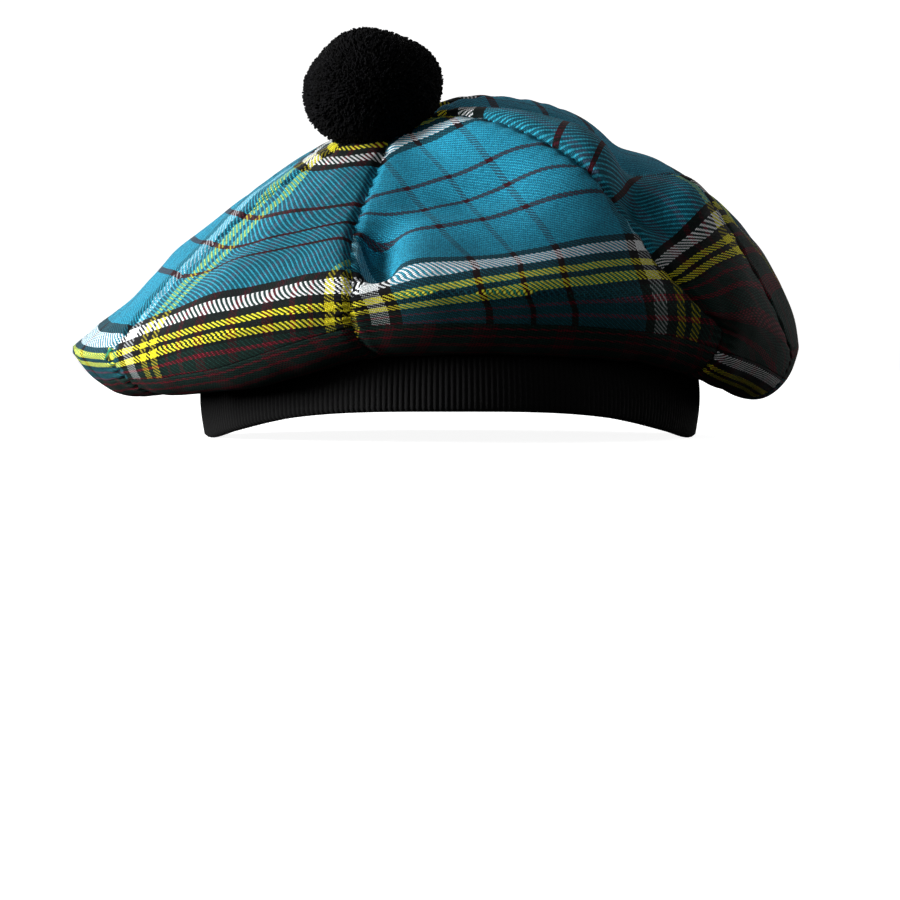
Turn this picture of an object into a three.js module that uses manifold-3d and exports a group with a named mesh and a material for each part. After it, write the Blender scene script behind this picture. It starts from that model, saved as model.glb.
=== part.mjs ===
// Balmoral bonnet: a slack crown of eight tartan gores, an underside of eight
// panels, a ribbed knitted headband and a wool pompom. Millimetres, +Z up, the
// front of the bonnet faces -Y. An azimuth is in degrees, from the front (-Y)
// towards +X.

import * as THREE from "three";
import { mergeVertices } from "three/addons/utils/BufferGeometryUtils.js";
import Module from "manifold-3d";

// ---------------------------------------------------------------- dimensions

const CLOTH = 2.0; // thickness of the lined woollen cloth
const SEAM_GAP = 0.4; // clear gap between two pieces that are sewn together

// The drawing is centred on the band. The origin lies below the middle of the
// whole bonnet, this far from the band's centre.
const ORIGIN = new THREE.Vector3(-4.6, 4.0, 0);

const HUB = new THREE.Vector3(-18, 2, 101); // where the gores meet, under the pompom
const MIDDLE = new THREE.Vector2(-5, 3); // centre of the crown's outline in plan
const HUB_FLAT = 11; // the cloth lies level within about this radius of the hub
const TIP_RADIUS = 4; // the gores stop this far from the hub

const BAND_HALF_WIDTH = 80; // outside of the band, side to side
const BAND_HALF_DEPTH = 100; // outside of the band, front to back
const BAND_HEIGHT = 33;
const BAND_THICKNESS = 3.6;
const BAND_BELLY = 1.6; // how far the knit swells out below the middle
const BAND_EDGE = 1.0; // rounding of the rim and of the top edge
const RIM_ARCH = 9.8; // lift of the rim at the centre of the front
const BACK_ARCH = 7; // and at the centre of the back
const RIM_ARCH_HALF_ANGLE = 80; // each arch runs this far either way
const BAND_JOIN = 27; // height where the underside is sewn to the band
const JOIN_GAP = 0.7; // the facets of panel and band take up about half of it

const POMPOM_RADII = new THREE.Vector3(21.6, 21.2, 18.4);
const POMPOM_CENTRE = new THREE.Vector3(-25, -7, 113.2);

// Each row is one section of the crown: the azimuth, the radius of the outline
// about MIDDLE, the height of the outer fold, the heights of the two control
// points of the profile between hub and fold, how far the underside is tucked
// in beneath the fold, and the height that it sags to.
const SECTIONS = [
  { azimuth: -90, radius: 117, fold: 29, near: 103.5, far: 32.5, tuck: 12, sag: 10 },
  { azimuth: -58, radius: 119, fold: 27, near: 99.5, far: 34, tuck: 6, sag: 11 },
  { azimuth: -35, radius: 120, fold: 31, near: 92, far: 44, tuck: 2, sag: 15 },
  { azimuth: -12, radius: 120, fold: 43, near: 86, far: 54, tuck: 2, sag: 26 },
  { azimuth: 14, radius: 114, fold: 45, near: 93, far: 57, tuck: 2, sag: 27 },
  { azimuth: 40, radius: 110, fold: 42, near: 116, far: 84, tuck: 2, sag: 24 },
  { azimuth: 62, radius: 114, fold: 36, near: 116, far: 95, tuck: 2, sag: 14 },
  { azimuth: 84, radius: 118, fold: 29, near: 113, far: 81, tuck: 3, sag: 8 },
  { azimuth: 106, radius: 118, fold: 36, near: 123, far: 93, tuck: 3, sag: 12 },
  { azimuth: 128, radius: 118, fold: 45, near: 130, far: 105, tuck: 3, sag: 20 },
  { azimuth: 150, radius: 119, fold: 52, near: 126, far: 101, tuck: 3, sag: 25 },
  { azimuth: 171, radius: 120, fold: 55, near: 119, far: 95, tuck: 3, sag: 26 },
  { azimuth: 193, radius: 120, fold: 53, near: 112, far: 88, tuck: 3, sag: 26 },
  { azimuth: 215, radius: 119, fold: 48, near: 106, far: 74, tuck: 3, sag: 24 },
  { azimuth: 236, radius: 118, fold: 40, near: 107, far: 54, tuck: 4, sag: 16 },
  { azimuth: 254, radius: 117.5, fold: 31, near: 106, far: 39, tuck: 8, sag: 12 },
];
const NEAR_REACH = 0.3; // where the two control points stand between hub and fold
const FAR_REACH = 0.963;

// The seams between gores; the front three are uneven because the cloth is slack.
const SEAMS = [-58, -12, 40, 80, 128, 171, 215, 258];

// Seams that lean on their way down: reaches, and degrees added to the azimuth.
const SEAM_LEANS = {
  1: { reaches: [0.5, 0.9, 1.2], degrees: [-2.6, 0.2, 0] },
  2: { reaches: [0.86, 1.1], degrees: [0, 14] },
  3: { reaches: [0.84, 1.1], degrees: [-15, 0] },
};

// Ridges (height above 0) and valleys of the slack cloth, each along a line in plan.
const FOLDS = [
  { x0: 61, y0: -62, x1: 59, y1: -10, height: -8.5, width: 9.5 }, // long crease on the right
  { x0: 59, y0: 5, x1: 58, y1: 60, height: -4.8, width: 9.5 }, // where it runs out to the back
  { x0: 74, y0: -50, x1: 76, y1: -14, height: 2, width: 9 }, // shoulder beyond it
  { x0: -20, y0: -76, x1: -21, y1: -103, height: -4, width: 8 }, // tuck at the front seam
  { x0: -8, y0: -62, x1: 14, y1: -60, height: -2.5, width: 13 }, // dip in the front gore
  { x0: -52, y0: -58, x1: -66, y1: -82, height: 2, width: 11 }, // swell of the left front gore
  { x0: -48, y0: 52, x1: -66, y1: 78, height: -3, width: 12 }, // soft hollow at the back
];

const GORE_PUFF = 1.6; // how far a gore's middle stands out from its seams
const HEM = 0.2; // share of the underside's profile that belongs to the gore
const ACROSS = 9; // facets across a gore
const DOWN = 12; // facets from hub to fold
const WRAP = 2; // facets from fold to hem
const UNDER = 5; // facets from hem to band
const BAND_FACETS = 80;

// ------------------------------------------------------------------- helpers

const radians = THREE.MathUtils.degToRad;

// Cubic interpolation of one column of SECTIONS around the whole turn.
function around(column, azimuth) {
  const count = SECTIONS.length;
  const row = (i) => SECTIONS[((i % count) + count) % count][column];
  const angle = (i) =>
    SECTIONS[((i % count) + count) % count].azimuth + 360 * Math.floor(i / count);
  const first = SECTIONS[0].azimuth;
  const a = first + ((((azimuth - first) % 360) + 360) % 360);
  let i = count - 1;
  while (angle(i) > a) i--;
  const span = angle(i + 1) - angle(i);
  const t = (a - angle(i)) / span;
  const slope = (j) => (row(j + 1) - row(j - 1)) / (angle(j + 1) - angle(j - 1));
  const [t2, t3] = [t * t, t * t * t];
  return (
    row(i) * (2 * t3 - 3 * t2 + 1) +
    row(i + 1) * (3 * t2 - 2 * t3) +
    span * slope(i) * (t3 - 2 * t2 + t) +
    span * slope(i + 1) * (t3 - t2)
  );
}

function bezier(points, t) {
  const s = 1 - t;
  const weights = [s * s * s, 3 * s * s * t, 3 * s * t * t, t * t * t];
  const sum = new THREE.Vector3();
  points.forEach((p, i) => sum.addScaledVector(p, weights[i]));
  return sum;
}

function onOutline(azimuth) {
  const radius = around("radius", azimuth);
  const a = radians(azimuth);
  return new THREE.Vector3(
    MIDDLE.x + radius * Math.sin(a),
    MIDDLE.y - radius * Math.cos(a),
    around("fold", azimuth),
  );
}

// Height of the rim above the surface that the bonnet stands on.
function rimHeight(azimuth) {
  const fromFront = Math.abs(((azimuth + 540) % 360) - 180);
  const arch = (height, away) => {
    const share = Math.min(away / RIM_ARCH_HALF_ANGLE, 1) ** 1.5;
    return (height * (1 + Math.cos(Math.PI * share))) / 2;
  };
  return arch(RIM_ARCH, fromFront) + arch(BACK_ARCH, 180 - fromFront);
}

// A point on the band's oval, pushed out by offset along the oval's normal.
function onOval(azimuth, offset) {
  const a = radians(azimuth);
  const x = BAND_HALF_WIDTH * Math.sin(a);
  const y = -BAND_HALF_DEPTH * Math.cos(a);
  const normal = new THREE.Vector2(
    x / BAND_HALF_WIDTH ** 2,
    y / BAND_HALF_DEPTH ** 2,
  ).normalize();
  return new THREE.Vector3(x + offset * normal.x, y + offset * normal.y, 0);
}

function bandBelly(height) {
  return BAND_BELLY * Math.sin(Math.PI * Math.min(height / (0.8 * BAND_HEIGHT), 1));
}

// How far the ridges and valleys lift the cloth at a place in plan.
function foldHeight(x, y) {
  let sum = 0;
  for (const f of FOLDS) {
    const [dx, dy] = [f.x1 - f.x0, f.y1 - f.y0];
    const t = ((x - f.x0) * dx + (y - f.y0) * dy) / (dx * dx + dy * dy);
    const near = THREE.MathUtils.clamp(t, 0, 1);
    const away = Math.hypot(x - f.x0 - near * dx, y - f.y0 - near * dy);
    sum += f.height * Math.exp(-((away / f.width) ** 2));
  }
  return sum;
}

// The azimuth of seam k, counted on past the last one, at a reach.
function seamAt(k, reach) {
  const seam = SEAMS[k % SEAMS.length] + 360 * Math.floor(k / SEAMS.length);
  const lean = SEAM_LEANS[k];
  if (!lean) return seam;
  const { reaches, degrees } = lean;
  let added = degrees[0];
  for (let i = 1; i < reaches.length; i++) {
    const ease = THREE.MathUtils.smoothstep(reach, reaches[i - 1], reaches[i]);
    added += (degrees[i] - degrees[i - 1]) * ease;
  }
  return seam + added;
}

// Share of the way across the gore that holds this place, 0 and 1 at its seams.
function acrossGore(azimuth, reach) {
  const a = SEAMS[0] + ((((azimuth - SEAMS[0]) % 360) + 360) % 360);
  let i = SEAMS.length - 1;
  while (seamAt(i, reach) > a) i--;
  const [from, to] = [seamAt(i, reach), seamAt(i + 1, reach)];
  return (a - from) / (to - from);
}

// ------------------------------------------------------ the bonnet's surface

// The cloth without folds. From 0 at the hub to 1 at the outer fold it is the
// crown, and from 1 to 2 the underside, down, in and up to the band.
function plainCloth(azimuth, reach) {
  const edge = onOutline(azimuth);
  if (reach <= 1) {
    const near = HUB.clone().lerp(edge, NEAR_REACH);
    near.z = around("near", azimuth);
    const far = HUB.clone().lerp(edge, FAR_REACH);
    far.z = around("far", azimuth);
    const point = bezier([HUB, near, far, edge], reach);
    const run = Math.hypot(point.x - HUB.x, point.y - HUB.y);
    const level = Math.exp(-((run / HUB_FLAT) ** 2));
    return point.setZ(THREE.MathUtils.lerp(point.z, HUB.z, level));
  }
  const join = onOval(azimuth, JOIN_GAP + bandBelly(BAND_JOIN));
  join.z = BAND_JOIN;
  const sag = around("sag", azimuth);
  const tuck = around("tuck", azimuth) / around("radius", azimuth);
  const below = edge.clone().lerp(new THREE.Vector3(MIDDLE.x, MIDDLE.y, sag), tuck).setZ(sag);
  const turn = edge.clone().lerp(join, 0.72).setZ(sag - 1);
  return bezier([edge, below, turn, join], reach - 1);
}

function normalOf(surface, azimuth, reach) {
  const [da, dr] = [0.05, 0.0005];
  const alongAzimuth = surface(azimuth + da, reach).sub(surface(azimuth - da, reach));
  const alongReach = surface(azimuth, reach + dr).sub(surface(azimuth, reach - dr));
  return alongReach.cross(alongAzimuth).normalize();
}

// The cloth with its folds and with each gore puffed between its seams.
function cloth(azimuth, reach) {
  const point = plainCloth(azimuth, reach);
  const ease = reach <= 1 ? 1 : Math.max(0, 1 - (reach - 1) * 3);
  const across = 2 * acrossGore(azimuth, reach) - 1;
  const swell = Math.sin((Math.PI * Math.min(reach, 2)) / 2);
  const puff = GORE_PUFF * (1 - across * across) * Math.max(swell, 0);
  const lift = ease * foldHeight(point.x, point.y) + puff;
  return point.addScaledVector(normalOf(plainCloth, azimuth, reach), lift);
}

// ---------------------------------------------------------- building solids

// A closed wall over a grid of rows by columns: outer(i, j) and inner(i, j)
// give its two faces. With around set, the columns close on themselves.
function wall(rows, columns, outer, inner) {
  const positions = [];
  const index = [];
  const at = (side, i, j) => (side * (rows + 1) + i) * (columns + 1) + j;
  for (const face of [outer, inner])
    for (let i = 0; i <= rows; i++)
      for (let j = 0; j <= columns; j++) positions.push(...face(i, j).toArray());
  const quad = (a, b, c, d) => index.push(a, b, c, a, c, d);
  for (let i = 0; i < rows; i++)
    for (let j = 0; j < columns; j++) {
      quad(at(0, i, j), at(0, i + 1, j), at(0, i + 1, j + 1), at(0, i, j + 1));
      quad(at(1, i, j), at(1, i, j + 1), at(1, i + 1, j + 1), at(1, i + 1, j));
    }
  for (let j = 0; j < columns; j++) {
    quad(at(0, 0, j), at(0, 0, j + 1), at(1, 0, j + 1), at(1, 0, j));
    quad(at(0, rows, j), at(1, rows, j), at(1, rows, j + 1), at(0, rows, j + 1));
  }
  for (let i = 0; i < rows; i++) {
    quad(at(0, i, 0), at(1, i, 0), at(1, i + 1, 0), at(0, i + 1, 0));
    quad(at(0, i, columns), at(0, i + 1, columns), at(1, i + 1, columns), at(1, i, columns));
  }
  const geometry = new THREE.BufferGeometry();
  geometry.setAttribute("position", new THREE.Float32BufferAttribute(positions, 3));
  geometry.setIndex(index);
  return geometry;
}

// The part of the cloth between two seams and two reaches, as a wall.
function clothPiece(k, reaches) {
  const place = (i, j) => {
    const [from, to] = [seamAt(k, reaches[i]), seamAt(k + 1, reaches[i])];
    const run = plainCloth((from + to) / 2, reaches[i]).sub(HUB).setZ(0).length();
    const gap = THREE.MathUtils.radToDeg(SEAM_GAP / 2 / run);
    const azimuth = THREE.MathUtils.lerp(from + gap, to - gap, j / ACROSS);
    return [azimuth, reaches[i]];
  };
  const outer = (i, j) => cloth(...place(i, j));
  const inner = (i, j) =>
    outer(i, j).addScaledVector(normalOf(cloth, ...place(i, j)), -CLOTH);
  return wall(reaches.length - 1, ACROSS, outer, inner);
}

function steps(from, to, count) {
  return Array.from({ length: count + 1 }, (_, i) => from + ((to - from) * i) / count);
}

function goreReaches() {
  const start = TIP_RADIUS / 110;
  return [...steps(start, 1, DOWN), ...steps(1, 1 + HEM, WRAP).slice(1)];
}

function panelReaches() {
  const gap = SEAM_GAP / 60;
  return steps(1 + HEM + gap, 2, UNDER);
}

// A ring swept round the band's oval from a closed section; each corner of the
// section is [inset from the outside, height above the surface].
function ovalRing(corners, columns) {
  const positions = [];
  const index = [];
  const rows = corners(0).length;
  for (let j = 0; j < columns; j++) {
    const azimuth = (360 * j) / columns;
    for (const [inset, height] of corners(azimuth))
      positions.push(...onOval(azimuth, -inset).setZ(height).toArray());
  }
  for (let j = 0; j < columns; j++)
    for (let i = 0; i < rows; i++) {
      const [here, next] = [j * rows, ((j + 1) % columns) * rows];
      const above = (i + 1) % rows;
      index.push(here + i, next + i, next + above, here + i, next + above, here + above);
    }
  const geometry = new THREE.BufferGeometry();
  geometry.setAttribute("position", new THREE.Float32BufferAttribute(positions, 3));
  geometry.setIndex(index);
  return geometry;
}

// The band's section, counter-clockwise from the outer corner of the rim.
function bandSection(azimuth) {
  const rim = rimHeight(azimuth);
  const [edge, thick, top] = [BAND_EDGE, BAND_THICKNESS, BAND_HEIGHT];
  const outside = steps(rim + edge, top - edge, 4).map((z) => [-bandBelly(z), z]);
  return [
    [edge - bandBelly(rim), rim],
    ...outside,
    [edge, top],
    [thick - edge, top],
    [thick, top - edge],
    [thick, (top + rim) / 2],
    [thick - bandBelly(rim), rim + edge],
    [thick - edge - bandBelly(rim), rim],
  ];
}

const wasm = await Module();
wasm.setup();

// A closed geometry as a manifold-3d solid.
function solidOf(geometry) {
  const bare = geometry.clone();
  bare.deleteAttribute("normal");
  bare.deleteAttribute("uv");
  const merged = mergeVertices(bare, 1e-4);
  return new wasm.Manifold(
    new wasm.Mesh({
      numProp: 3,
      vertProperties: merged.attributes.position.array,
      triVerts: new Uint32Array(merged.index.array),
    }),
  );
}

function geometryOf(solid) {
  const mesh = solid.getMesh();
  const geometry = new THREE.BufferGeometry();
  geometry.setAttribute("position", new THREE.Float32BufferAttribute(mesh.vertProperties, 3));
  geometry.setIndex(Array.from(mesh.triVerts));
  return geometry;
}

// Clumps of yarn that stand out of the pompom's ball, each towards a direction.
const CLUMPS = [
  { x: -0.35, y: -0.2, z: 0.92, height: 0.05, spread: 0.25 },
  { x: 0.85, y: -0.3, z: 0.42, height: 0.06, spread: 0.3 },
  { x: -0.72, y: -0.2, z: -0.66, height: 0.1, spread: 0.4 },
  { x: 0.2, y: 0.9, z: 0.3, height: 0.05, spread: 0.4 },
  { x: -0.6, y: 0.7, z: 0.3, height: 0.04, spread: 0.3 },
  { x: 0.1, y: -0.95, z: 0.1, height: 0.04, spread: 0.4 },
];

function pompomBall() {
  const ball = new THREE.IcosahedronGeometry(1, 4);
  const place = ball.attributes.position;
  const direction = new THREE.Vector3();
  for (let i = 0; i < place.count; i++) {
    direction.fromBufferAttribute(place, i).normalize();
    let scale = 1;
    for (const c of CLUMPS) {
      const towards = new THREE.Vector3(c.x, c.y, c.z).normalize();
      scale += c.height * Math.exp(-direction.distanceToSquared(towards) / c.spread);
    }
    direction.multiplyScalar(scale).multiply(POMPOM_RADII).add(POMPOM_CENTRE);
    place.setXYZ(i, direction.x, direction.y, direction.z);
  }
  return ball;
}

// Everything under the crown's face around the hub, with a gap above the cloth.
function underPompom() {
  const reaches = [0.0001, ...steps(TIP_RADIUS / 110, 0.5, 6)];
  const columns = 8 * ACROSS;
  const lifted = (i, j) => {
    const azimuth = SEAMS[0] + (360 * (j % columns)) / columns;
    const normal = normalOf(cloth, azimuth, reaches[Math.max(i, 1)]);
    return cloth(azimuth, reaches[i]).addScaledVector(normal, SEAM_GAP + 0.15);
  };
  const positions = [];
  const index = [];
  const rows = reaches.length;
  const top = HUB.clone().add(new THREE.Vector3(0, 0, SEAM_GAP + 0.15));
  const base = HUB.clone().setZ(0);
  positions.push(...top.toArray(), ...base.toArray());
  for (let i = 1; i < rows; i++)
    for (let j = 0; j < columns; j++) positions.push(...lifted(i, j).toArray());
  for (let j = 0; j < columns; j++) positions.push(...lifted(rows - 1, j).setZ(0).toArray());
  const at = (i, j) => 2 + i * columns + (j % columns);
  for (let j = 0; j < columns; j++) {
    index.push(0, at(0, j), at(0, j + 1));
    for (let i = 0; i + 1 < rows; i++) {
      index.push(at(i, j), at(i + 1, j), at(i + 1, j + 1));
      index.push(at(i, j), at(i + 1, j + 1), at(i, j + 1));
    }
    index.push(1, at(rows - 1, j + 1), at(rows - 1, j));
  }
  const geometry = new THREE.BufferGeometry();
  geometry.setAttribute("position", new THREE.Float32BufferAttribute(positions, 3));
  geometry.setIndex(index);
  return geometry;
}

// -------------------------------------------------------------- the assembly

const group = new THREE.Group();
const bonnet = new THREE.Group();
bonnet.position.copy(ORIGIN).negate();
group.add(bonnet);

function add(name, geometry, color, roughness) {
  const material = new THREE.MeshStandardMaterial({ color, roughness, metalness: 0 });
  const mesh = new THREE.Mesh(geometry, material);
  mesh.name = name;
  bonnet.add(mesh);
}

SEAMS.forEach((_, k) => {
  add(`crown_gore_${k + 1}`, clothPiece(k, goreReaches()), 0x12748c, 0.9);
  add(`under_panel_${k + 1}`, clothPiece(k, panelReaches()), 0x0e4f5f, 0.9);
});
add("headband", ovalRing(bandSection, BAND_FACETS), 0x060606, 0.95);
add("pompom", geometryOf(solidOf(pompomBall()).subtract(solidOf(underPompom()))), 0x050505, 1);

export default group;
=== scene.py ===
"""Balmoral bonnet: eight tartan gores, eight under panels, a ribbed knitted
headband and a wool pompom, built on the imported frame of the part.

The drawing below is in millimetres and centred on the band; place() carries it
into the frame, in metres. An azimuth is in degrees from the front towards +X,
and a reach runs from 0 at the hub to 1 at the outer fold and 2 at the band."""

import math
import random

import bmesh
import bpy
import numpy as np
from mathutils import Matrix, Vector, noise


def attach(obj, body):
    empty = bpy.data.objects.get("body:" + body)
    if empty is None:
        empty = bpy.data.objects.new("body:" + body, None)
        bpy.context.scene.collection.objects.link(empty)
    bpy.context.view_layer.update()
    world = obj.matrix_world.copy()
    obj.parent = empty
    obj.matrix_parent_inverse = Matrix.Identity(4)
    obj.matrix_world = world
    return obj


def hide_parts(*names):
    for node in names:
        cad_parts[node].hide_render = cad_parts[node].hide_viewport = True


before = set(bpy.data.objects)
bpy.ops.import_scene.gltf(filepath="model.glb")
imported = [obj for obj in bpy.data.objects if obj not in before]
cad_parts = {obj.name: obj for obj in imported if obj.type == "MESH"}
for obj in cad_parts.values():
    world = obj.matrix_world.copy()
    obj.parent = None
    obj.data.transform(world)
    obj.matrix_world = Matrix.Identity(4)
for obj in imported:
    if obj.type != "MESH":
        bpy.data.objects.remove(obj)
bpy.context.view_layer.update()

# ------------------------------------------------------------ the drawing

MILLIMETRE = 0.001
ORIGIN = np.array([4.6, -4.0, 0.0])  # the band's centre in the part's frame
HUB = np.array([-18.0, 2.0, 101.0])  # where the gores meet, under the pompom
MIDDLE = np.array([-5.0, 3.0])  # centre of the crown's outline in plan
HUB_FLAT = 11.0  # the cloth lies level within about this radius of the hub
CLOTH = 2.0  # thickness of the lined woollen cloth

BAND_HALF_WIDTH, BAND_HALF_DEPTH, BAND_HEIGHT = 80.0, 100.0, 33.0
BAND_THICKNESS = 3.6
BAND_BELLY = 1.6  # how far the band swells out halfway up
BELLY_TOP = 0.8  # share of the band's height where the swelling ends
RIM_ARCH, BACK_ARCH = 9.8, 7.0  # rise of the lower rim at the front and the back
RIM_ARCH_HALF_ANGLE, RIM_ARCH_SHAPE = 80.0, 1.5
BAND_JOIN, JOIN_GAP = 27.0, 0.7  # height where the underside ends, and how far off the band

POMPOM_RADII = np.array([21.6, 21.2, 18.4])
POMPOM_CENTRE = np.array([-25.0, -7.0, 113.2])

# azimuth, radius, fold, near, far, tuck, sag of each section of the crown
SECTIONS = np.array([
    (-90, 117, 29, 103.5, 32.5, 12, 10), (-58, 119, 27, 99.5, 34, 6, 11),
    (-35, 120, 31, 92, 44, 2, 15), (-12, 120, 43, 86, 54, 2, 26),
    (14, 114, 45, 93, 57, 2, 27), (40, 110, 42, 116, 84, 2, 24),
    (62, 114, 36, 116, 95, 2, 14), (84, 118, 29, 113, 81, 3, 8),
    (106, 118, 36, 123, 93, 3, 12), (128, 118, 45, 130, 105, 3, 20),
    (150, 119, 52, 126, 101, 3, 25), (171, 120, 55, 119, 95, 3, 26),
    (193, 120, 53, 112, 88, 3, 26), (215, 119, 48, 106, 74, 3, 24),
    (236, 118, 40, 107, 54, 4, 16), (254, 117.5, 31, 106, 39, 8, 12),
], float)
COLUMN = {"radius": 1, "fold": 2, "near": 3, "far": 4, "tuck": 5, "sag": 6}
NEAR_REACH, FAR_REACH = 0.3, 0.963  # shares of the way out where near and far steer the curve
TURN_SHARE, TURN_DROP = 0.72, 1  # where the underside levels out on its way to the band

GORES = 8
SEAMS = np.array([-58, -12, 40, 80, 128, 171, 215, 258, 302], float)

# Seams that lean on their way down: reaches, and degrees added to the azimuth
SEAM_LEANS = {
    1: ([0.5, 0.9, 1.2], [-2.6, 0.2, 0]),
    2: ([0.86, 1.1], [0, 14]),
    3: ([0.84, 1.1], [-15, 0]),
}

# Ridges and valleys of the slack cloth: from x, y to x, y, height, width
FOLDS = [
    (61, -62, 59, -10, -8.5, 9.5), (59, 5, 58, 60, -4.8, 9.5), (74, -50, 76, -14, 2, 9),
    (-20, -76, -21, -103, -4, 8), (-8, -62, 14, -60, -2.5, 13),
    (-52, -58, -66, -82, 2, 11), (-48, 52, -66, 78, -3, 12),
]
# Sharper hollows beside a seam, given in the same way
HOLLOWS = [(-22.3, -81, -21.5, -101, -5, 4.4), (-104, -30, -104, 30, -2.2, 12)]
FOLD_FADE = 3  # folds die out within 1 / FOLD_FADE of reach past the outer fold
GORE_PUFF = 1.6  # how far a gore's middle stands out from its seams
HUB_REACH, HEM_REACH, BAND_REACH = 0.03, 1.2, 1.995  # the ends of the panels of cloth
HEM_GAP = 0.002  # in reach, between a gore and its under panel

# ------------------------------------------------------------ how the tartan lies

THREADS_PER_COUNT = 1.42  # threads of cloth in one count of the sett
HALF_SETT = 144  # counts from the middle of the blue ground to the middle of the dark one
END_PITCH = 0.615  # millimetres across a count of the warp
PICK_PITCH = 0.52  # millimetres across a count of the weft

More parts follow.
